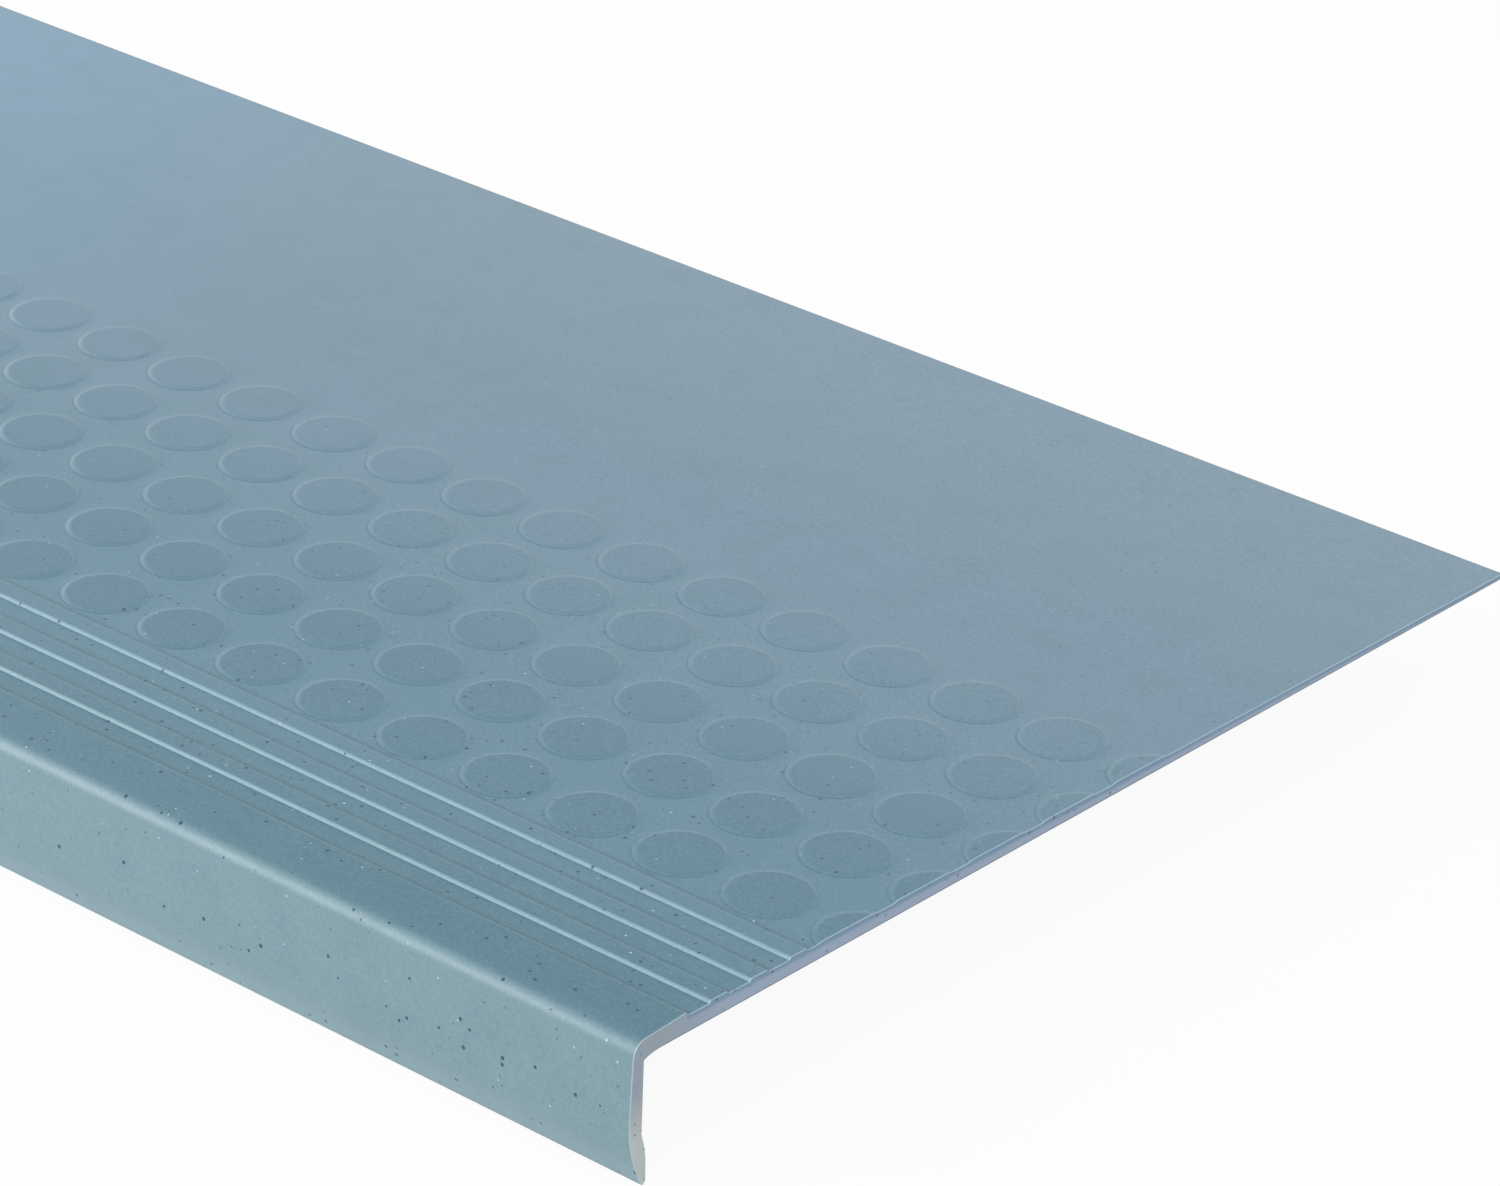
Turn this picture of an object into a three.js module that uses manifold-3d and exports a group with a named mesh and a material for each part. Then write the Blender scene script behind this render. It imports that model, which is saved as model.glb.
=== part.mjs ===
// A moulded rubber stair tread: one sheet with a square nosing flap, three
// anti-slip ribs behind the nose and a field of low round studs.
// Millimetres, +Z up, +X along the step, +Y from the nose to the riser behind.
// The origin is in the middle of the flat underside, which lies on the step.

import * as THREE from 'three';
import { mergeGeometries, mergeVertices } from 'three/addons/utils/BufferGeometryUtils.js';
import Module from 'manifold-3d';

const wasm = await Module();
wasm.setup();

// Overall sizes
const treadLength = 914;
const treadDepth = 318;
const backThickness = 1.1;

// Nose and land: the thick strip along the front edge
const landWidth = 17.1;
const landThickness = 4.8;
const landFrontThickness = 4.1;
const noseRadius = 3.9;

// Flap that hangs over the front of the step
const flapDrop = 31.6;
const flapInnerFace = 3.8;
const flapFrontLean = 0.6;
const flapBulgeDepth = 15;
const flapTipSetback = 4.4;
const flapTipInset = 1.6;
const flapTipHeight = 4;
const flapTipRadius = 0.7;

// Fillet between the flap's inner face and the underside
const filletLength = 6;
const filletDrop = 1;

// Ribs between the land and the studs, each with a steep rear wall and a slanted front
const ribCount = 3;
const ribTopWidth = 5.3;
const ribRampWidth = 0.45;
const ribWallRun = 0.5;
const grooveFloorWidth = 6.65;
const grooveFloorThickness = 4;
const ribHeight = 0.6;

// Studs, on a square grid
const studRows = 5;
const studPitch = 25.8;
const studRadius = 11;
const studHeight = 0.35;
const studWallRun = 1.4;
const studSides = 12;
const studRoot = 0.4;
const firstRowFromRibs = 13.4;
const lastColumnFromEnd = 21.8;
const smallestCutStud = 2;

const endTrim = 40;
const curveSteps = 8;
const rubber = new THREE.MeshStandardMaterial({ color: 0x6f92a5, roughness: 0.55, metalness: 0 });

const ribPeriod = ribWallRun + grooveFloorWidth + ribRampWidth + ribTopWidth;
const ribsEnd = landWidth + ribCount * ribPeriod;
const firstRow = ribsEnd + firstRowFromRibs;
const taper = (grooveFloorThickness - backThickness) / (treadDepth - landWidth);

// Thickness of the bare sheet at a distance from the nose
function sheetThickness(fromNose) {
  return grooveFloorThickness - taper * (fromNose - landWidth);
}

// Underside, fillet and inner face of the flap, from the back edge to the tip
function drawUnderside(section) {
  const innerTip = flapInnerFace + flapTipInset;
  const bendEnd = -flapDrop + flapTipHeight;
  section.moveTo(treadDepth, 0);
  section.lineTo(flapInnerFace + filletLength, 0);
  section.quadraticCurveTo(flapInnerFace + filletLength / 3, 0, flapInnerFace, -filletDrop);
  section.lineTo(flapInnerFace, -flapBulgeDepth - flapTipHeight);
  section.lineTo(innerTip, bendEnd);
  section.lineTo(innerTip, -flapDrop + flapTipRadius);
  section.lineTo(innerTip - flapTipRadius, -flapDrop);
}

// Front of the flap, from its tip up to the nose and over it to the land
function drawFront(section) {
  const noseCentreY = flapFrontLean + noseRadius;
  const noseCentreZ = landFrontThickness - noseRadius;
  section.lineTo(flapTipSetback, -flapDrop);
  section.quadraticCurveTo(0, -flapDrop + 2 * flapTipHeight, 0, -flapBulgeDepth);
  section.lineTo(flapFrontLean, noseCentreZ);
  section.absarc(noseCentreY, noseCentreZ, noseRadius, Math.PI, Math.PI / 2, true);
  section.lineTo(landWidth, landThickness);
}

// One groove and the rib behind it
function drawRib(section, start) {
  const floorStart = start + ribWallRun;
  const floorEnd = floorStart + grooveFloorWidth;
  const rampEnd = floorEnd + ribRampWidth;
  const ribEnd = rampEnd + ribTopWidth;
  section.lineTo(floorStart, sheetThickness(floorStart));
  section.lineTo(floorEnd, sheetThickness(floorEnd));
  section.lineTo(rampEnd, sheetThickness(rampEnd) + ribHeight);
  section.lineTo(ribEnd, sheetThickness(ribEnd) + ribHeight);
}

function makeSection() {
  const section = new THREE.Shape();
  drawUnderside(section);
  drawFront(section);
  for (let rib = 0; rib < ribCount; rib += 1) {
    drawRib(section, landWidth + rib * ribPeriod);
  }
  section.lineTo(ribsEnd + ribWallRun, sheetThickness(ribsEnd + ribWallRun));
  section.lineTo(treadDepth, backThickness);
  section.closePath();
  return section;
}

// The section, drawn in Y and Z, swept along X past both ends
function makeSheet() {
  const sweep = treadLength + 2 * endTrim;
  const sheet = new THREE.ExtrudeGeometry(makeSection(), {
    depth: sweep,
    steps: 1,
    curveSegments: curveSteps,
    bevelEnabled: false,
  });
  const alongY = new THREE.Vector3(0, 1, 0);
  const alongZ = new THREE.Vector3(0, 0, 1);
  const alongX = new THREE.Vector3(1, 0, 0);
  sheet.applyMatrix4(new THREE.Matrix4().makeBasis(alongY, alongZ, alongX));
  return sheet.translate(-sweep / 2, 0, 0);
}

// A low frustum that stands square to the tapered sheet, with a root inside it
function makeStud(x, fromNose) {
  const rootSpread = studWallRun * studRoot / studHeight;
  const profile = [
    new THREE.Vector2(0, -studRoot),
    new THREE.Vector2(studRadius + rootSpread, -studRoot),
    new THREE.Vector2(studRadius, 0),
    new THREE.Vector2(studRadius - studWallRun, studHeight),
    new THREE.Vector2(0, studHeight),
  ];
  const stud = new THREE.LatheGeometry(profile, studSides);
  stud.rotateX(Math.PI / 2 - Math.atan(taper));
  return stud.translate(x, fromNose, sheetThickness(fromNose));
}

// Columns run from the one cut by the right-hand end to the left-hand end
function studColumns() {
  const columns = [];
  const reach = treadLength / 2 + studRadius - smallestCutStud;
  const lastColumn = treadLength / 2 - lastColumnFromEnd;
  const beyond = Math.floor((reach - lastColumn) / studPitch);
  for (let x = lastColumn + beyond * studPitch; x > -reach; x -= studPitch) {
    columns.push(x);
  }
  return columns;
}

function makeStuds() {
  const studs = [];
  for (const x of studColumns()) {
    for (let row = 0; row < studRows; row += 1) {
      studs.push(makeStud(x, firstRow + row * studPitch));
    }
  }
  return mergeGeometries(studs);
}

// What is kept when the moulded strip is cut to length
function makeCutLength() {
  return new THREE.BoxGeometry(treadLength, 3 * treadDepth, 3 * treadDepth);
}

function toSolid(geometry) {
  const bare = geometry.clone();
  bare.deleteAttribute('normal');
  bare.deleteAttribute('uv');
  const merged = mergeVertices(bare);
  const vertProperties = new Float32Array(merged.attributes.position.array);
  const triVerts = new Uint32Array(merged.index.array);
  return new wasm.Manifold(new wasm.Mesh({ numProp: 3, vertProperties, triVerts }));
}

function toGeometry(solid) {
  const mesh = solid.getMesh();
  const geometry = new THREE.BufferGeometry();
  geometry.setAttribute('position', new THREE.BufferAttribute(mesh.vertProperties, 3));
  geometry.setIndex(new THREE.BufferAttribute(mesh.triVerts, 1));
  geometry.computeVertexNormals();
  return geometry;
}

const moulded = toSolid(makeSheet()).add(toSolid(makeStuds()));
const cut = moulded.intersect(toSolid(makeCutLength()));

const stairTread = new THREE.Mesh(toGeometry(cut), rubber);
stairTread.name = 'stair_tread';
stairTread.position.y = -treadDepth / 2;

const tread = new THREE.Group();
tread.add(stairTread);

export default tread;
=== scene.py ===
import math

import bmesh
import bpy
from mathutils import Matrix, Vector


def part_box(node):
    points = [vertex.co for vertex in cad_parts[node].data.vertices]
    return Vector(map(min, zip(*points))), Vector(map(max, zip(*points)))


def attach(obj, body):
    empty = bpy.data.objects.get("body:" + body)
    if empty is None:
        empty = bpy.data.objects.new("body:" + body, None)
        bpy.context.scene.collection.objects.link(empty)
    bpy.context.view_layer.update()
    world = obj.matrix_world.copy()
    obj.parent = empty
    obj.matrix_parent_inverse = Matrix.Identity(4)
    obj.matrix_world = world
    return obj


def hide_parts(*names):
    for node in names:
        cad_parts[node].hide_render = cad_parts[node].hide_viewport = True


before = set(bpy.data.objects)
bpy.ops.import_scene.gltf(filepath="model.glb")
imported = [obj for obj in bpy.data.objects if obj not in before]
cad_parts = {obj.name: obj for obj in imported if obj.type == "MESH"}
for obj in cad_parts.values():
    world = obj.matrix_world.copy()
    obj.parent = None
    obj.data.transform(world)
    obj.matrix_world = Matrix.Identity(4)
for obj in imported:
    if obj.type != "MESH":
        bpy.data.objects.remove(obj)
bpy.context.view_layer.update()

# Metres, in the tread's own frame: +X along the step, +Y from the nose to the riser, +Z up.
# Profile distances are counted from the front of the nose, heights from the underside.
LOW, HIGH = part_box("stair_tread")
LENGTH = HIGH.x - LOW.x
DEPTH = HIGH.y - LOW.y
FLAP_DROP = -LOW.z
LAND_THICKNESS = HIGH.z

BACK_THICKNESS = 0.0011
LAND_WIDTH = 0.0171
LAND_FRONT_THICKNESS = 0.0041
NOSE_RADIUS = 0.0039
NOSE_STEPS = 10

FLAP_INNER_FACE = 0.0038
FLAP_FRONT_LEAN = 0.0006
FLAP_BULGE_DEPTH = 0.015
FLAP_TIP_SETBACK = 0.0044
FLAP_TIP_INSET = 0.0016
FLAP_TIP_HEIGHT = 0.004
FLAP_TIP_RADIUS = 0.0007
FLAP_STEPS = 7
BEND_STEPS = 4

FILLET_LENGTH = 0.006
FILLET_DROP = 0.001
FILLET_STEPS = 5

RIB_COUNT = 3
RIB_TOP_WIDTH = 0.0053
RIB_FRONT_RUN = 0.00045
RIB_WALL_RUN = 0.0005
RIB_HEIGHT = 0.0006
GROOVE_FLOOR_WIDTH = 0.00665
GROOVE_FLOOR_THICKNESS = 0.004

STUD_ROWS = 5
STUD_PITCH = 0.0258
STUD_RADIUS = 0.011
STUD_HEIGHT = 0.00035
STUD_WALL_RUN = 0.0014
STUD_SIDES = 24
STUD_ROUNDING = 0.00045
LAST_COLUMN_FROM_END = 0.0218
SMALLEST_END_STRIP = 0.0001

FRONT_EDGE_ROUNDING = 0.0002
REAR_EDGE_ROUNDING = 0.0004
EDGE_SEGMENTS = 3
CORNER_ROUNDING = 0.0016
CORNER_CUTS = 3

RIB_PERIOD = RIB_WALL_RUN + GROOVE_FLOOR_WIDTH + RIB_FRONT_RUN + RIB_TOP_WIDTH
RIBS_END = LAND_WIDTH + RIB_COUNT * RIB_PERIOD
FIELD_START = RIBS_END + RIB_WALL_RUN
FIRST_ROW = FIELD_START + STUD_PITCH / 2
FIELD_END = FIELD_START + STUD_ROWS * STUD_PITCH
BEHIND_STUDS = FIRST_ROW + STUD_ROWS * STUD_PITCH
TAPER = (GROOVE_FLOOR_THICKNESS - BACK_THICKNESS) / (DEPTH - LAND_WIDTH)

TINY = 1e-5
CORNER_PRECISION = TINY / 10
SMOOTH_ANGLE = math.radians(40)


def sheet_thickness(from_nose):
    """Thickness of the bare sheet at a distance from the nose."""
    return GROOVE_FLOOR_THICKNESS - TAPER * (from_nose - LAND_WIDTH)


def profile_point(from_nose, height):
    """A point of the section, as (y, z) in the tread's frame."""
    return LOW.y + from_nose, height


# Modelling helpers

def select_alone(piece):
    bpy.ops.object.select_all(action="DESELECT")
    piece.select_set(True)
    bpy.context.view_layer.objects.active = piece


def edit(piece):
    """Opens a piece alone in edit mode, with nothing selected."""
    select_alone(piece)
    bpy.ops.object.mode_set(mode="EDIT")
    bpy.ops.mesh.select_mode(type="VERT")
    bpy.ops.mesh.select_all(action="DESELECT")


def leave_edit():
    bpy.ops.object.mode_set(mode="OBJECT")


def pick_vertices(piece, wanted):
    """Selects the vertices whose place passes a test, and the edges and faces between them."""
    mesh = bmesh.from_edit_mesh(piece.data)
    for vertex in mesh.verts:
        vertex.select_set(wanted(vertex.co))
    mesh.select_flush_mode()
    bmesh.update_edit_mesh(piece.data)


def pick_edges(piece, wanted):
    """Selects the edges that pass a test, and nothing else."""
    bpy.ops.mesh.select_mode(type="EDGE")
    bpy.ops.mesh.select_all(action="DESELECT")
    mesh = bmesh.from_edit_mesh(piece.data)
    for edge in mesh.edges:
        if wanted(edge):
            edge.select_set(True)
    bmesh.update_edit_mesh(piece.data)


def merge_doubles():
    bpy.ops.mesh.select_all(action="SELECT")
    bpy.ops.mesh.remove_doubles(threshold=TINY)
    bpy.ops.mesh.select_all(action="DESELECT")


def repeat(piece, count, step):
    """Repeats a piece along one direction, welded where copies meet."""
    array = piece.modifiers.new("repeat", "ARRAY")
    array.use_relative_offset = False
    array.use_constant_offset = True
    array.constant_offset_displace = step
    array.count = count
    array.use_merge_vertices = True
    array.merge_threshold = TINY
    select_alone(piece)
    bpy.ops.object.modifier_apply(modifier=array.name)


# The stud field

def add_stud_crown():
    """The flat top of a stud, as a disc with its rim still to come."""
    bpy.ops.mesh.primitive_circle_add(
        vertices=STUD_SIDES,
        radius=STUD_RADIUS - STUD_WALL_RUN,
        fill_type="NGON",
        location=(0, 0, STUD_HEIGHT),
    )
    stud = bpy.context.object
    stud.name = "moulded_tread"
    select_alone(stud)
    bpy.ops.object.transform_apply(location=True)
    return stud


def is_ring(edge, radius):
    return all(abs(vertex.co.xy.length - radius) < TINY for vertex in edge.verts)


def draw_wall(stud):
    """Extrudes the crown's rim outwards and down to the foot of the stud."""
    crown = STUD_RADIUS - STUD_WALL_RUN
    spread = STUD_RADIUS / crown
    edit(stud)
    pick_edges(stud, lambda edge: is_ring(edge, crown))
    bpy.ops.mesh.extrude_region_move()
    bpy.ops.transform.resize(value=(spread, spread, 1), center_override=(0, 0, 0))
    bpy.ops.transform.translate(value=(0, 0, -STUD_HEIGHT))
    leave_edit()


def round_stud(tile):
    """Softens the shoulder and the foot of the stud."""
    crown = STUD_RADIUS - STUD_WALL_RUN
    pick_edges(tile, lambda edge: is_ring(edge, STUD_RADIUS) or is_ring(edge, crown))
    bpy.ops.mesh.bevel(offset=STUD_ROUNDING, segments=1, affect="EDGES")


def add_tile_border():
    """A square of edges, one pitch wide, with as many points as a stud has sides."""
    per_side = STUD_SIDES // 4
    bpy.ops.mesh.primitive_grid_add(x_subdivisions=per_side, y_subdivisions=per_side, size=STUD_PITCH)
    border = bpy.context.object
    edit(border)
    bpy.ops.mesh.select_all(action="SELECT")
    bpy.ops.mesh.delete(type="ONLY_FACE")
    inside = STUD_PITCH / 2 - TINY
    pick_vertices(border, lambda co: max(abs(co.x), abs(co.y)) < inside)
    bpy.ops.mesh.delete(type="VERT")
    leave_edit()
    return border


def make_stud_tile():
    """One stud on a square of the sheet, flat, with the sheet's surface at z = 0."""
    stud = add_stud_crown()
    draw_wall(stud)
    border = add_tile_border()
    select_alone(stud)
    border.select_set(True)
    bpy.ops.object.join()
    edit(stud)
    pick_edges(stud, lambda edge: edge.is_boundary or edge.is_wire)
    bpy.ops.mesh.bridge_edge_loops()
    merge_doubles()
    round_stud(stud)
    leave_edit()
    return stud


def lay_stud_rows(tile):
    """Repeats the tile from the first row to the last, on the slope of the sheet."""
    repeat(tile, STUD_ROWS, (0, STUD_PITCH, 0))
    tile.rotation_euler = (-math.atan(TAPER), 0, 0)
    first_column = HIGH.x - LAST_COLUMN_FROM_END + STUD_PITCH
    y, z = profile_point(FIRST_ROW, sheet_thickness(FIRST_ROW))
    tile.location = (first_column, y, z)
    select_alone(tile)
    bpy.ops.object.transform_apply(location=True, rotation=True)


# The section in front of and behind the studs

def rib_outline():
    """Over the ribs and grooves, from the studs forward to the land."""
    points = []
    for rib in reversed(range(RIB_COUNT)):
        floor_start = LAND_WIDTH + rib * RIB_PERIOD + RIB_WALL_RUN
        floor_end = floor_start + GROOVE_FLOOR_WIDTH
        top_start = floor_end + RIB_FRONT_RUN
        top_end = top_start + RIB_TOP_WIDTH
        points += [
            (top_end, sheet_thickness(top_end) + RIB_HEIGHT),
            (top_start, sheet_thickness(top_start) + RIB_HEIGHT),
            (floor_end, sheet_thickness(floor_end)),
            (floor_start, sheet_thickness(floor_start)),
        ]
    return points + [(LAND_WIDTH, LAND_THICKNESS)]


def front_edges():
    """The top front edge of each rib."""
    starts = [LAND_WIDTH + rib * RIB_PERIOD - RIB_TOP_WIDTH for rib in range(1, RIB_COUNT + 1)]
    return [(start, sheet_thickness(start) + RIB_HEIGHT) for start in starts]


def rear_edges():
    """The top edges that face away from the nose: of the land, of each rib and of the back."""
    ends = [LAND_WIDTH + rib * RIB_PERIOD for rib in range(1, RIB_COUNT + 1)]
    ribs = [(end, sheet_thickness(end) + RIB_HEIGHT) for end in ends]
    return ribs + [(LAND_WIDTH, LAND_THICKNESS), (DEPTH, BACK_THICKNESS)]


def nose_arc():
    """From the land, over the nose, to the top of the flap's front."""
    centre = FLAP_FRONT_LEAN + NOSE_RADIUS, LAND_FRONT_THICKNESS - NOSE_RADIUS
    points = []
    for step in range(NOSE_STEPS + 1):
        turn = math.pi / 2 * (1 + step / NOSE_STEPS)
        points.append((
            centre[0] + NOSE_RADIUS * math.cos(turn),
            centre[1] + NOSE_RADIUS * math.sin(turn),
        ))
    return points


def quadratic(start, control, end, steps):
    """Points of a quadratic curve after its start."""
    points = []
    for step in range(1, steps + 1):
        done = step / steps
        left = 1 - done
        points.append(tuple(
            left ** 2 * first + 2 * done * left * middle + done * done * last
            for first, middle, last in zip(start, control, end)
        ))
    return points


def flap_outline():
    """From below the nose, down the front of the flap, round its tip and up inside to the fillet."""
    bulge = 0, -FLAP_BULGE_DEPTH
    front_control = 0, -FLAP_DROP + 2 * FLAP_TIP_HEIGHT
    tip = FLAP_TIP_SETBACK, -FLAP_DROP
    inner_tip = FLAP_INNER_FACE + FLAP_TIP_INSET
    bend_end = -FLAP_DROP + FLAP_TIP_HEIGHT
    bend_start = -FLAP_BULGE_DEPTH - FLAP_TIP_HEIGHT
    bend_control = inner_tip, (bend_start + bend_end) / 2
    points = [bulge]
    points += quadratic(bulge, front_control, tip, FLAP_STEPS)
    points.append((inner_tip - FLAP_TIP_RADIUS, -FLAP_DROP))
    points.append((inner_tip, -FLAP_DROP + FLAP_TIP_RADIUS))
    points.append((inner_tip, bend_end))
    points += quadratic((inner_tip, bend_end), bend_control, (FLAP_INNER_FACE, bend_start), BEND_STEPS)
    points.append((FLAP_INNER_FACE, -FILLET_DROP))
    return points


def underside_outline():
    """Up the fillet from the flap's inner face, then back along the flat underside."""
    corner = FLAP_INNER_FACE, -FILLET_DROP
    control = FLAP_INNER_FACE + FILLET_LENGTH / 3, 0
    flat_start = FLAP_INNER_FACE + FILLET_LENGTH, 0
    return quadratic(corner, control, flat_start, FILLET_STEPS) + [(DEPTH, 0)]


def draw_on(points, start):
    """Extrudes the selected edges through the points of the section in turn."""
    here = Vector(start)
    for point in points:
        there = Vector(profile_point(*point))
        step = there - here
        bpy.ops.mesh.extrude_region_move(TRANSFORM_OT_translate={"value": (0, step.x, step.y)})
        here = there


def pick_border(piece, from_nose):
    """Selects the open edges of the stud field at a distance from the nose, and tells their place."""
    y, z = profile_point(from_nose, sheet_thickness(from_nose))

    def at_border(co):
        return abs(co.y - y) < STUD_ROUNDING and abs(co.z - z) < STUD_ROUNDING

    pick_edges(piece, lambda edge: edge.is_boundary and all(at_border(v.co) for v in edge.verts))
    mesh = bmesh.from_edit_mesh(piece.data)
    border = next(vertex.co for vertex in mesh.verts if at_border(vertex.co))
    return border.y, border.z


def draw_section(piece):
    """Carries the field's border over the ribs, nose, flap and underside, and to the back edge."""
    edit(piece)
    start = pick_border(piece, FIELD_START)
    draw_on(rib_outline() + nose_arc() + flap_outline() + underside_outline(), start)
    start = pick_border(piece, FIELD_END)
    draw_on([(DEPTH, BACK_THICKNESS), (DEPTH, 0)], start)
    merge_doubles()
    leave_edit()


def round_long_edges(piece, edges, radius):
    """Rounds edges that run along the tread, given as points of the section."""
    places = [profile_point(*edge) for edge in edges]
    near = 3 * TINY

    def on_edge(co):
        return any(abs(co.y - y) < near and abs(co.z - z) < near for y, z in places)

    edit(piece)
    pick_edges(piece, lambda edge: all(on_edge(vertex.co) for vertex in edge.verts))
    bpy.ops.mesh.bevel(offset=radius, segments=EDGE_SEGMENTS, affect="EDGES")
    leave_edit()


# Cutting to length

def count_columns():
    """Columns of tiles, from the one that the right-hand end cuts to the last whole one."""
    reach = LENGTH - LAST_COLUMN_FROM_END + 1.5 * STUD_PITCH
    return math.floor((reach - SMALLEST_END_STRIP) / STUD_PITCH)


def close_left_end(piece):
    """Carries the open left border to the end and closes it with one face."""
    mesh = bmesh.from_edit_mesh(piece.data)
    border = min(vertex.co.x for vertex in mesh.verts)
    pick_edges(piece, lambda edge: all(vertex.co.x - border < TINY for vertex in edge.verts))
    bpy.ops.mesh.extrude_region_move(TRANSFORM_OT_translate={"value": (LOW.x - border, 0, 0)})
    bpy.ops.mesh.edge_face_add()


def cut_off(place, outwards, threshold):
    """Cuts away what lies beyond a plane, and closes the cut."""
    bpy.ops.mesh.select_all(action="SELECT")
    bpy.ops.mesh.bisect(
        plane_co=place,
        plane_no=outwards,
        use_fill=True,
        clear_outer=True,
        threshold=threshold,
    )


def round_back_corners():
    """Trims the two back corners with a few flat cuts around a small circle."""
    centre_x = LENGTH / 2 - CORNER_ROUNDING
    centre_y = HIGH.y - CORNER_ROUNDING
    for side in (1, -1):
        for cut in range(1, CORNER_CUTS + 1):
            turn = math.pi / 2 * cut / (CORNER_CUTS + 1)
            out_x = math.cos(turn)
            out_y = math.sin(turn)
            touch_x = centre_x + CORNER_ROUNDING * out_x
            touch_y = centre_y + CORNER_ROUNDING * out_y
            cut_off((side * touch_x, touch_y, 0), (side * out_x, out_y, 0), CORNER_PRECISION)


def smooth_shading(tread):
    """Rounded corners shade smooth, and the large flat faces between them shade flat."""
    select_alone(tread)
    bpy.ops.object.shade_smooth_by_angle(angle=SMOOTH_ANGLE)
    weighted = tread.modifiers.new("flat faces", "WEIGHTED_NORMAL")
    weighted.mode = "FACE_AREA"
    weighted.keep_sharp = True
    bpy.ops.object.modifier_apply(modifier=weighted.name)


def make_tread():
    """The whole moulding: one slice, one stud wide, repeated along the length and cut."""
    tread = make_stud_tile()
    lay_stud_rows(tread)
    draw_section(tread)
    round_long_edges(tread, front_edges(), FRONT_EDGE_ROUNDING)
    round_long_edges(tread, rear_edges(), REAR_EDGE_ROUNDING)
    repeat(tread, count_columns(), (-STUD_PITCH, 0, 0))
    edit(tread)
    close_left_end(tread)
    cut_off((HIGH.x, 0, 0), (1, 0, 0), TINY)
    merge_doubles()
    round_back_corners()
    bpy.ops.mesh.select_all(action="SELECT")
    bpy.ops.mesh.normals_make_consistent(inside=False)
    leave_edit()
    smooth_shading(tread)
    return tread


def mark_cut_faces(tread):
    """The two sawn ends take the second finish."""
    for polygon in tread.data.polygons:
        polygon.material_index = int(abs(polygon.center.x) > LENGTH / 2 - TINY)


# Finishes

class Socket:
    """An output of a shader node. Arithmetic on it adds Math nodes."""

    def __init__(self, nodes, socket):
        self.nodes = nodes
        self.socket = socket

    def math(self, operation, *others):
        inputs = dict(enumerate((self, *others)))
        return self.nodes.node("Math", {"operation": operation}, inputs)["Value"]

    def __add__(self, other):
        return self.math("ADD", other)

    def __sub__(self, other):
        return self.math("SUBTRACT", other)

    def __rsub__(self, other):
        return self.nodes.node("Math", {"operation": "SUBTRACT"}, {0: other, 1: self})["Value"]

    def __mul__(self, other):
        return self.math("MULTIPLY", other)

    def __gt__(self, other):
        return self.math("GREATER_THAN", other)

    def __lt__(self, other):
        return self.math("LESS_THAN", other)

    __radd__ = __add__
    __rmul__ = __mul__


class Outputs:
    """The outputs of one node, by name or number."""

    def __init__(self, nodes, shader_node):
        self.nodes = nodes
        self.shader_node = shader_node

    def __getitem__(self, name):
        return Socket(self.nodes, self.shader_node.outputs[name])


class Nodes:
    """The nodes of one material or of the world."""

    def __init__(self, tree):
        self.tree = tree
        self.tree.nodes.clear()

    def node(self, kind, settings=None, sockets=None):
        """Adds a node: its settings first, then the values or links of its sockets."""
        shader_node = self.tree.nodes.new("ShaderNode" + kind)
        for name, value in (settings or {}).items():
            setattr(shader_node, name, value)
        for name, value in (sockets or {}).items():
            if isinstance(value, Socket):
                self.tree.links.new(value.socket, shader_node.inputs[name])
            else:
                shader_node.inputs[name].default_value = value
        return Outputs(self, shader_node)

    def ramp_between(self, value, start, end):
        """0 at start, 1 at end, smooth between them."""
        ramp = self.node(
            "MapRange",
            {"interpolation_type": "SMOOTHSTEP"},
            {"Value": value, "From Min": start, "From Max": end},
        )
        return ramp["Result"]

    def ridge(self, value, place, half_width):
        """1 at a place, fading to 0 at half a width on either side."""
        rise = self.ramp_between(value, place - half_width, place)
        return rise * self.ramp_between(value, place + half_width, place)

    def blend(self, factor, first, second):
        """A colour between two colours."""
        mix = self.node("Mix", {"data_type": "RGBA"}, {0: factor, 6: first, 7: second})
        return mix[2]

    def noise(self, place, scale, detail=2.0, roughness=0.5):
        texture = self.node(
            "TexNoise",
            None,
            {"Vector": place, "Scale": scale, "Detail": detail, "Roughness": roughness},
        )
        return texture["Fac"]


class Finish(Nodes):
    """One procedural material."""

    def __init__(self, name):
        self.material = bpy.data.materials.new(name)
        self.material.use_nodes = True
        super().__init__(self.material.node_tree)

    def output(self, shader):
        self.node("OutputMaterial", None, {"Surface": shader})


def colour(red, green, blue):
    """A display colour, 0 to 255, as the linear colour that a shader takes."""
    def linear(value):
        value = value / 255
        return value / 12.92 if value <= 0.04045 else ((value + 0.055) / 1.055) ** 2.4
    return linear(red), linear(green), linear(blue), 1.0


# Colours of the moulded surface
FLAP_TEAL = colour(125, 156, 166)
LAND_TEAL = colour(72, 118, 136)
STUDS_BLUE = colour(91, 133, 153)
SHEET_BLUE = colour(111, 143, 163)
FAR_GREY = colour(123, 151, 170)
# Painted sheen, lighter and bluer, over the left part of the sheet.
LEFT_SHEEN_BLUE = colour(104, 168, 202)
CROWN_TEAL = colour(38, 92, 118)
MOTTLE_GREEN = colour(96, 134, 145)
# Dark side of the fine mottle, and painted shade in the groove corners and at the stud feet.
DARK_MOTTLE_AND_SHADE = colour(56, 88, 102)
# Pale side of the fine mottle, painted highlights on rear edges and stud shoulders, and a painted
# reflection at the flap's tip.
PALE_MOTTLE_AND_HIGHLIGHT = colour(150, 184, 197)
# Painted highlight on the steep front of each rib.
RIB_FRONT_HIGHLIGHT = colour(136, 171, 185)
DARK_SPECK = colour(22, 46, 78)
PALE_SPECK = colour(196, 218, 228)

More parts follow.
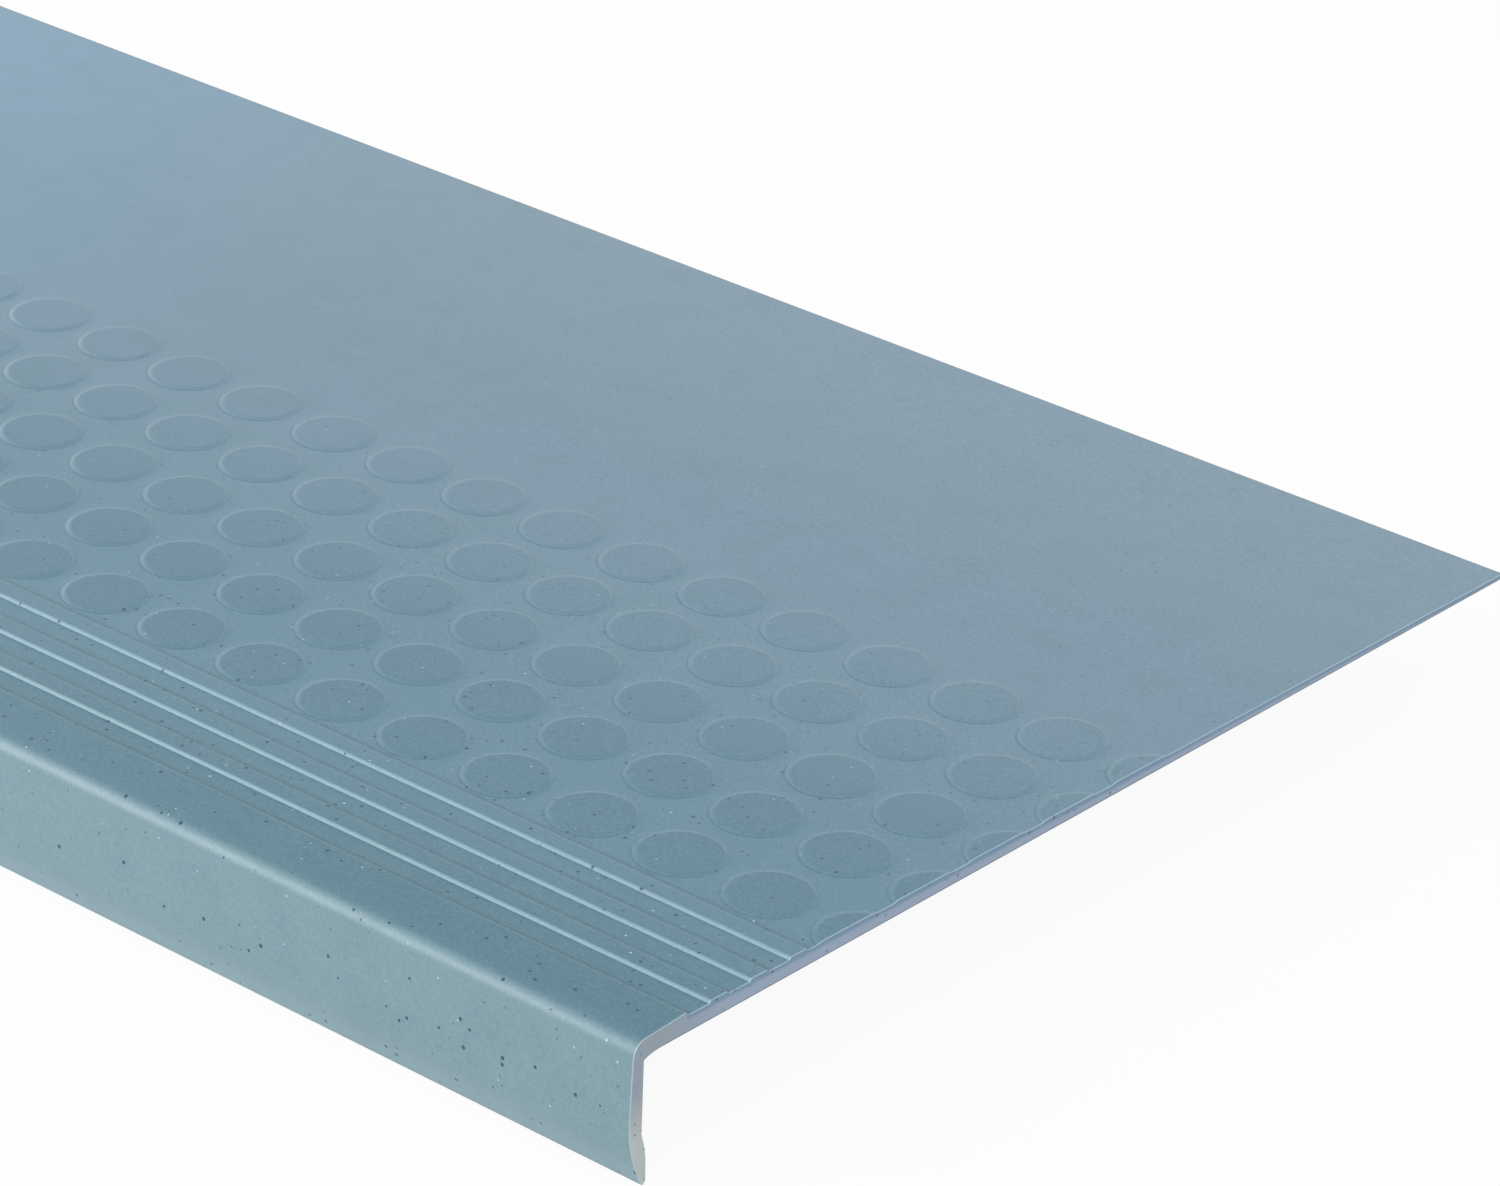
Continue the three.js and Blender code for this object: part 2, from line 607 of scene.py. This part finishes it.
# Colours of the sawn ends
CUT_NOSE_GREY = colour(158, 172, 184)
CUT_VIOLET = colour(164, 183, 206)
CUT_TOP_BLUE = colour(126, 157, 187)
CUT_TIP_GREY = colour(197, 208, 207)
# Painted shade along the lower rim of the sawn ends.
CUT_RIM_SHADE = colour(105, 110, 122)
EDGE_PALE = colour(176, 204, 212)

# Gloss and relief too fine to model
RUBBER_ROUGHNESS = 0.38
GLOSS_DRIFT = 0.08
GLOSS_SCALE = 35.0
GRAIN_HEIGHT = 0.00003
GRAIN_SCALE = 900.0
GRAIN_STRENGTH = 0.35
CUT_ROUGHNESS = 0.65
SAW_SCALE = 700.0
SAW_STRENGTH = 0.4
FINE_DETAIL = 3.0
WEAR_DETAIL = 4.0
FINE_ROUGHNESS = 0.6

# Broad drifts of colour, with a painted sheen towards the left, a paler nose that is partly a painted
# highlight, a painted reflection at the flap's tip, and a soft mottle
LEFT_START = 0.16
LEFT_END = -0.04
LEFT_WANDER = 0.04
LEFT_WANDER_SCALE = 6.0
LEFT_SHEEN_STRENGTH = 0.3
NOSE_TINT_START = LAND_FRONT_THICKNESS + 0.0002
NOSE_TINT_END = LAND_FRONT_THICKNESS - NOSE_RADIUS / 4
TIP_REFLECTION_HEIGHT = 0.009
TIP_REFLECTION_STRENGTH = 0.35
MOTTLE_SCALE = 70.0
MOTTLE_LOW = 0.45
MOTTLE_HIGH = 0.7
MOTTLE_STRENGTH = 0.15

# Fine mottle and specks, which show more towards the right-hand end
RIGHT_START = 0.0
RIGHT_END = 0.35
FINE_MOTTLE_SCALE = 1200.0
FINE_MOTTLE_LOW = 0.3
FINE_MOTTLE_HIGH = 0.7
FINE_MOTTLE_LEFT = 0.03
FINE_MOTTLE_RISE = 0.07
SPECK_CELL = 0.003
SPECK_SOFTNESS = 0.02
SMALLEST_SPECK = 0.5
DARK_SPECK_SIZE = 0.12
DARK_SPECK_SHARE = 0.55
PALE_SPECK_SIZE = 0.07
PALE_SPECK_SHARE = 0.25
PALE_SPECK_SHIFT = 0.31, 0.17, 0.23
SPECK_DEPTH_BACK = 0.2
SPECK_DEPTH_NOSE = 0.85
SPECK_DEPTH_LEFT = 0.6
SPECK_DEPTH_CUT = 0.5

# Painted highlights on the rib edges and stud shoulders, painted shade in the groove corners and at the
# stud feet, and darker stud tops. Wall shade is counted from the top edge before the groove.
FRONT_HIGHLIGHT_TAIL = 0.0006
REAR_HIGHLIGHT_WIDTH = 0.0009
REAR_HIGHLIGHT_STRENGTH = 0.15
WALL_SHADE_START = 0.0006
WALL_SHADE_FULL = 0.0012
WALL_SHADE_FADES = 0.0014
WALL_SHADE_END = 0.0023
WALL_SHADE_STRENGTH = 0.35
FRONT_SHADE_WIDTH = 0.001
FRONT_SHADE_STRENGTH = 0.2
RIB_TOP_LEVEL = RIB_HEIGHT * 0.8
CROWN_START = STUD_HEIGHT * 0.5
CROWN_FULL = STUD_HEIGHT * 0.95
CROWN_STRENGTH = 0.11
CROWN_RISE = 0.17
SHOULDER_RADIUS = STUD_RADIUS - STUD_WALL_RUN * 0.8
SHOULDER_HIGHLIGHT_WIDTH = 0.0006
SHOULDER_HIGHLIGHT_STRENGTH = 0.2
REAR_SIDE_START = STUD_RADIUS * -0.2
REAR_SIDE_FULL = STUD_RADIUS * 0.9
FOOT_SHADE_WIDTH = 0.0005
FOOT_SHADE_STRENGTH = 0.45
FRONT_SIDE_START = STUD_RADIUS * 0.3
FRONT_SIDE_FULL = STUD_RADIUS * -0.8

# Sawn ends. The top is counted from the surface of the bare sheet, the tip from the underside.
CUT_EDGE_WIDTH = 0.0003
CUT_EDGE_STRENGTH = 0.8
CUT_RIM_SHADE_STRENGTH = 0.5
CUT_TOP_START = -0.0014
CUT_TOP_FULL = -0.0004
CUT_TOP_STRENGTH = 0.9
CUT_TIP_START = -0.006
CUT_TIP_FULL = -0.022


def place_on(finish):
    """The place on the tread, whole and as x, y and z."""
    place = finish.node("TexCoord")["Object"]
    axes = finish.node("SeparateXYZ", None, {"Vector": place})
    return place, axes["X"], axes["Y"], axes["Z"]


def over_bare_sheet(y, z):
    """Height over the bare sheet, which is negative on the underside."""
    return z - GROOVE_FLOOR_THICKNESS + (y - (LOW.y + LAND_WIDTH)) * TAPER


def specks(finish, place, size, share):
    """A mask of small round specks: a share of the cells holds one, and each has its own size."""
    cells = finish.node(
        "TexVoronoi",
        {"voronoi_dimensions": "3D", "feature": "F1"},
        {"Vector": place, "Scale": 1 / SPECK_CELL, "Randomness": 1.0},
    )
    pick = finish.node("SeparateColor", None, {"Color": cells["Color"]})
    chosen = pick["Red"] < share
    own_size = size * (SMALLEST_SPECK + pick["Green"])
    return chosen * finish.ramp_between(cells["Distance"] - own_size, SPECK_SOFTNESS, -SPECK_SOFTNESS)


def add_specks(finish, place, tint, strength):
    """Dark and pale specks, as strong as the strength says."""
    dark = specks(finish, place, DARK_SPECK_SIZE, DARK_SPECK_SHARE)
    shifted = finish.node("Mapping", None, {"Vector": place, "Location": PALE_SPECK_SHIFT})["Vector"]
    pale = specks(finish, shifted, PALE_SPECK_SIZE, PALE_SPECK_SHARE)
    tint = finish.blend(dark * strength, tint, DARK_SPECK)
    return finish.blend(pale * strength, tint, PALE_SPECK)


def add_fine_mottle(finish, place, tint, strength):
    """A fine mottle, as often paler as darker."""
    texture = finish.noise(place, FINE_MOTTLE_SCALE)
    mottle = finish.ramp_between(texture, FINE_MOTTLE_LOW, FINE_MOTTLE_HIGH)
    tint = finish.blend(mottle * strength, tint, PALE_MOTTLE_AND_HIGHLIGHT)
    return finish.blend((1 - mottle) * strength, tint, DARK_MOTTLE_AND_SHADE)


def broad_colour(finish, place, x, y, z):
    """The large drifts of colour from the flap to the back, a painted sheen towards the left, the flap's
    colour rising over the nose as partly a painted highlight, a painted reflection at the flap's tip, and
    a soft mottle.
    """
    over_ribs = finish.ramp_between(y, LOW.y + LAND_WIDTH / 3, LOW.y + FIRST_ROW)
    over_studs = finish.ramp_between(y, LOW.y + FIRST_ROW, LOW.y + BEHIND_STUDS)
    over_sheet = finish.ramp_between(y, LOW.y + BEHIND_STUDS, HIGH.y)
    tint = finish.blend(over_ribs, LAND_TEAL, STUDS_BLUE)
    tint = finish.blend(over_studs, tint, SHEET_BLUE)
    tint = finish.blend(over_sheet, tint, FAR_GREY)
    # Painted sheen: lighter and bluer towards the left end, away from the ribs.
    wander = finish.noise(place, LEFT_WANDER_SCALE) * LEFT_WANDER
    left = finish.ramp_between(x + wander, LEFT_START, LEFT_END)
    off_ribs = finish.ramp_between(y, LOW.y + FIRST_ROW, LOW.y + BEHIND_STUDS + STUD_PITCH)
    tint = finish.blend(left * off_ribs * LEFT_SHEEN_STRENGTH, tint, LEFT_SHEEN_BLUE)
    # The flap's paler colour, rising over the nose arc, where it is partly a painted highlight.
    flap_tint_and_nose_highlight = finish.ramp_between(z, NOSE_TINT_START, NOSE_TINT_END) * (y < LOW.y + LAND_WIDTH / 2)
    tint = finish.blend(flap_tint_and_nose_highlight, tint, FLAP_TEAL)
    # Painted reflection of the floor: paler towards the flap's tip.
    at_tip = finish.ramp_between(z, LOW.z + TIP_REFLECTION_HEIGHT, LOW.z)
    tint = finish.blend(at_tip * TIP_REFLECTION_STRENGTH, tint, PALE_MOTTLE_AND_HIGHLIGHT)
    mottle = finish.ramp_between(finish.noise(place, MOTTLE_SCALE), MOTTLE_LOW, MOTTLE_HIGH)
    return finish.blend(mottle * MOTTLE_STRENGTH, tint, MOTTLE_GREEN)


def rib_colour(finish, tint, y, z):
    """Painted highlights on the rib fronts and rear edges, and painted shade in the two corners of each
    groove.
    """
    from_land = y - (LOW.y + LAND_WIDTH)
    past_edge = from_land.math("FLOORED_MODULO", RIB_PERIOD)
    front_foot = RIB_WALL_RUN + GROOVE_FLOOR_WIDTH
    front_top = front_foot + RIB_FRONT_RUN
    ribs_depth = RIBS_END - LAND_WIDTH
    behind_land = (from_land > 0) * (z > GROOVE_FLOOR_THICKNESS / 2)
    before_studs = from_land < ribs_depth
    beside_studs = from_land < ribs_depth + RIB_PERIOD / 2

    # Painted highlight on the steep front of each rib, fading over its top edge.
    front_highlight = (past_edge > front_foot) * finish.ramp_between(past_edge, front_top + FRONT_HIGHLIGHT_TAIL, front_top)
    tint = finish.blend(front_highlight * behind_land * before_studs, tint, RIB_FRONT_HIGHLIGHT)

    # Painted highlight along the rear top edge of the land and of each rib.
    on_top = over_bare_sheet(y, z) > RIB_TOP_LEVEL
    rear_edge = finish.ramp_between(past_edge, RIB_PERIOD - REAR_HIGHLIGHT_WIDTH, RIB_PERIOD - REAR_HIGHLIGHT_WIDTH / 3)
    highlighted = rear_edge * on_top * before_studs * (from_land > -REAR_HIGHLIGHT_WIDTH)
    tint = finish.blend(highlighted * REAR_HIGHLIGHT_STRENGTH, tint, PALE_MOTTLE_AND_HIGHLIGHT)

    # Painted shade on the groove floor behind each rib's rear wall.
    shade_behind_wall = finish.ramp_between(past_edge, WALL_SHADE_START, WALL_SHADE_FULL)
    shade_behind_wall = shade_behind_wall * finish.ramp_between(past_edge, WALL_SHADE_END, WALL_SHADE_FADES)
    tint = finish.blend(shade_behind_wall * behind_land * beside_studs * WALL_SHADE_STRENGTH, tint, DARK_MOTTLE_AND_SHADE)

    # Painted shade at the foot of each rib's front.
    shade_before_front = finish.ramp_between(past_edge, front_foot - FRONT_SHADE_WIDTH, front_foot)
    shade_before_front = shade_before_front * (past_edge < front_foot + TINY)
    return finish.blend(shade_before_front * behind_land * before_studs * FRONT_SHADE_STRENGTH, tint, DARK_MOTTLE_AND_SHADE)


def from_nearest(value, pitch):
    """How far a value is past the nearest multiple of the pitch, or before it."""
    return (value + pitch / 2).math("FLOORED_MODULO", pitch) - pitch / 2


def stud_colour(finish, tint, x, y, z):
    """Darker stud tops, a painted highlight on the shoulder behind, and painted shade at the foot on the
    side of the nose.
    """
    field = (y > LOW.y + FIELD_START) * (y < LOW.y + FIELD_END) * (z > BACK_THICKNESS)
    crown = finish.ramp_between(over_bare_sheet(y, z), CROWN_START, CROWN_FULL)
    last_row = FIRST_ROW + (STUD_ROWS - 1) * STUD_PITCH
    front_rows = finish.ramp_between(y, LOW.y + last_row, LOW.y + FIRST_ROW)
    tint = finish.blend(crown * field * (CROWN_STRENGTH + front_rows * CROWN_RISE), tint, CROWN_TEAL)

    across = from_nearest(x - (HIGH.x - LAST_COLUMN_FROM_END), STUD_PITCH)
    along = from_nearest(y - (LOW.y + FIRST_ROW), STUD_PITCH)
    reach = (across * across + along * along).math("SQRT")
    # Painted highlight on the shoulder, on the side away from the nose.
    rear_side = finish.ramp_between(along, REAR_SIDE_START, REAR_SIDE_FULL)
    highlighted = finish.ridge(reach, SHOULDER_RADIUS, SHOULDER_HIGHLIGHT_WIDTH) * rear_side
    tint = finish.blend(highlighted * field * SHOULDER_HIGHLIGHT_STRENGTH, tint, PALE_MOTTLE_AND_HIGHLIGHT)

    # Painted shade at the foot, on the side of the nose.
    front_side = finish.ramp_between(along, FRONT_SIDE_START, FRONT_SIDE_FULL)
    shaded_foot = finish.ridge(reach, STUD_RADIUS, FOOT_SHADE_WIDTH) * front_side
    return finish.blend(shaded_foot * field * FOOT_SHADE_STRENGTH, tint, DARK_MOTTLE_AND_SHADE)


def make_rubber():
    """Satin moulded rubber with a fine grain, and pale along the sawn edges."""
    finish = Finish("moulded_rubber")
    place, x, y, z = place_on(finish)
    tint = broad_colour(finish, place, x, y, z)
    tint = rib_colour(finish, tint, y, z)
    tint = stud_colour(finish, tint, x, y, z)

    towards_nose = finish.ramp_between(y, LOW.y + BEHIND_STUDS, LOW.y + LAND_WIDTH)
    towards_right = finish.ramp_between(x, RIGHT_START, RIGHT_END)
    tint = add_fine_mottle(finish, place, tint, FINE_MOTTLE_LEFT + towards_right * FINE_MOTTLE_RISE)
    speck_depth = SPECK_DEPTH_BACK + (SPECK_DEPTH_NOSE - SPECK_DEPTH_BACK) * towards_nose
    speck_depth = speck_depth * (SPECK_DEPTH_LEFT + towards_right * (1 - SPECK_DEPTH_LEFT))
    tint = add_specks(finish, place, tint, speck_depth)
    sawn_edge = x.math("ABSOLUTE") > LENGTH / 2 - CUT_EDGE_WIDTH
    tint = finish.blend(sawn_edge * CUT_EDGE_STRENGTH, tint, EDGE_PALE)

    wear = finish.noise(place, GLOSS_SCALE, WEAR_DETAIL, FINE_ROUGHNESS)
    grain = finish.noise(place, GRAIN_SCALE, FINE_DETAIL, FINE_ROUGHNESS)
    bump = finish.node("Bump", None, {
        "Strength": GRAIN_STRENGTH,
        "Distance": GRAIN_HEIGHT,
        "Height": grain,
    })
    shader = finish.node("BsdfPrincipled", None, {
        "Base Color": tint,
        "Roughness": RUBBER_ROUGHNESS + (wear - 0.5) * GLOSS_DRIFT,
        "Normal": bump["Normal"],
    })
    finish.output(shader["BSDF"])
    return finish.material


def cut_colour(finish, y, z):
    """Grey at the nose, violet behind, bluer under the top, with painted shade along the lower rim and a
    pale tip.
    """
    from_land = y - (LOW.y + LAND_WIDTH)
    behind_nose = finish.ramp_between(from_land, -LAND_WIDTH / 2, LAND_WIDTH)
    tint = finish.blend(behind_nose, CUT_NOSE_GREY, CUT_VIOLET)
    at_tip = finish.ramp_between(z, CUT_TIP_START, CUT_TIP_FULL)
    tint = finish.blend(at_tip, tint, CUT_TIP_GREY)
    upper = finish.ramp_between(over_bare_sheet(y, z), CUT_TOP_START, CUT_TOP_FULL) * (from_land > 0)
    tint = finish.blend(upper * CUT_TOP_STRENGTH, tint, CUT_TOP_BLUE)
    # Painted shade along the lower rim of the cut.
    shaded_lower_rim = (z < CUT_EDGE_WIDTH) * (y > LOW.y + FLAP_INNER_FACE + FILLET_LENGTH)
    return finish.blend(shaded_lower_rim * CUT_RIM_SHADE_STRENGTH, tint, CUT_RIM_SHADE)


def make_cut_rubber():
    """The sawn ends: duller, with the same specks."""
    finish = Finish("cut_rubber")
    place, _, y, z = place_on(finish)
    tint = add_specks(finish, place, cut_colour(finish, y, z), SPECK_DEPTH_CUT)
    saw = finish.noise(place, SAW_SCALE, FINE_DETAIL, FINE_ROUGHNESS)
    bump = finish.node("Bump", None, {
        "Strength": SAW_STRENGTH,
        "Distance": GRAIN_HEIGHT,
        "Height": saw,
    })
    shader = finish.node("BsdfPrincipled", None, {
        "Base Color": tint,
        "Roughness": CUT_ROUGHNESS,
        "Normal": bump["Normal"],
    })
    finish.output(shader["BSDF"])
    return finish.material


# Stage, light and camera

FLOOR_SIZE = 12
FLOOR_GAP = 0.0002
FLOOR_PALE = 0.95, 0.95, 0.95, 1
FLOOR_WHITE_SHARE = 0.94
WORLD_LEVEL = 0.52
WHITE = 1, 1, 1, 1

CAMERA_PLACE = 1.14925, -0.95895, 0.6358
CAMERA_AZIMUTH = 39.76
CAMERA_ELEVATION = 26.46
CAMERA_ROLL = 2.27
CAMERA_LENS = 143.1
SENSOR_WIDTH = 36


def add_floor():
    """A pale floor that takes the shadow, and looks almost white to the camera and in reflections."""
    bpy.ops.mesh.primitive_plane_add(size=FLOOR_SIZE, location=(0, 0, LOW.z - FLOOR_GAP))
    floor = bpy.context.object
    floor.name = "floor"
    finish = Finish("pale_floor")
    path = finish.node("LightPath")
    seen = path["Is Camera Ray"] + path["Is Glossy Ray"] + path["Is Transmission Ray"]
    paint = finish.node("BsdfDiffuse", None, {"Color": FLOOR_PALE})
    white = finish.node("Emission", None, {"Color": WHITE, "Strength": 1.0})
    mixed = finish.node("MixShader", None, {
        0: seen * FLOOR_WHITE_SHARE,
        1: paint["BSDF"],
        2: white["Emission"],
    })
    finish.output(mixed["Shader"])
    floor.data.materials.append(finish.material)


def light_world():
    """Even light all round, which looks white to the camera and in reflections."""
    world = bpy.data.worlds.new("studio")
    world.use_nodes = True
    sky = Nodes(world.node_tree)
    path = sky.node("LightPath")
    seen = path["Is Camera Ray"] + path["Is Glossy Ray"]
    level = sky.node("MapRange", None, {"Value": seen, "To Min": WORLD_LEVEL, "To Max": 1.0})
    glow = sky.node("Background", None, {"Color": WHITE, "Strength": level["Result"]})
    sky.node("OutputWorld", None, {"Surface": glow["Background"]})
    bpy.context.scene.world = world


def add_softbox(name, place, width, height, power):
    """A large lamp turned towards the middle of the tread. Its width lies level."""
    lamp = bpy.data.lights.new(name, "AREA")
    lamp.shape = "RECTANGLE"
    lamp.size = width
    lamp.size_y = height
    lamp.energy = power
    holder = bpy.data.objects.new(name, lamp)
    holder.location = place
    holder.rotation_euler = (-Vector(place)).to_track_quat("-Z", "Y").to_euler()
    bpy.context.scene.collection.objects.link(holder)


def light_studio():
    light_world()
    add_softbox("key_right", place=(1.0, -0.2, 1.9), width=1.2, height=1.2, power=10)
    add_softbox("nose_left", place=(-1.26, -1.65, 0.86), width=1.5, height=1.4, power=32)
    add_softbox("back_left", place=(-2.3, 1.1, 1.1), width=0.9, height=0.7, power=8)


def add_camera():
    """A long lens above the right-hand end, looking down at it from the front."""
    azimuth = math.radians(CAMERA_AZIMUTH)
    elevation = math.radians(CAMERA_ELEVATION)
    ahead = Vector((
        -math.sin(azimuth) * math.cos(elevation),
        math.cos(azimuth) * math.cos(elevation),
        -math.sin(elevation),
    ))
    lens = bpy.data.cameras.new("camera")
    lens.lens = CAMERA_LENS
    lens.sensor_width = SENSOR_WIDTH
    camera = bpy.data.objects.new("camera", lens)
    level = ahead.to_track_quat("-Z", "Y").to_matrix().to_4x4()
    turn = Matrix.Rotation(math.radians(CAMERA_ROLL), 4, "Z")
    camera.matrix_world = Matrix.Translation(CAMERA_PLACE) @ level @ turn
    bpy.context.scene.collection.objects.link(camera)
    bpy.context.scene.camera = camera


def set_view():
    bpy.context.scene.view_settings.view_transform = "Standard"


add_camera()
tread = make_tread()
tread.data.materials.append(make_rubber())
tread.data.materials.append(make_cut_rubber())
mark_cut_faces(tread)
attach(tread, "root")
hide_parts("stair_tread")
add_floor()
light_studio()
set_view()
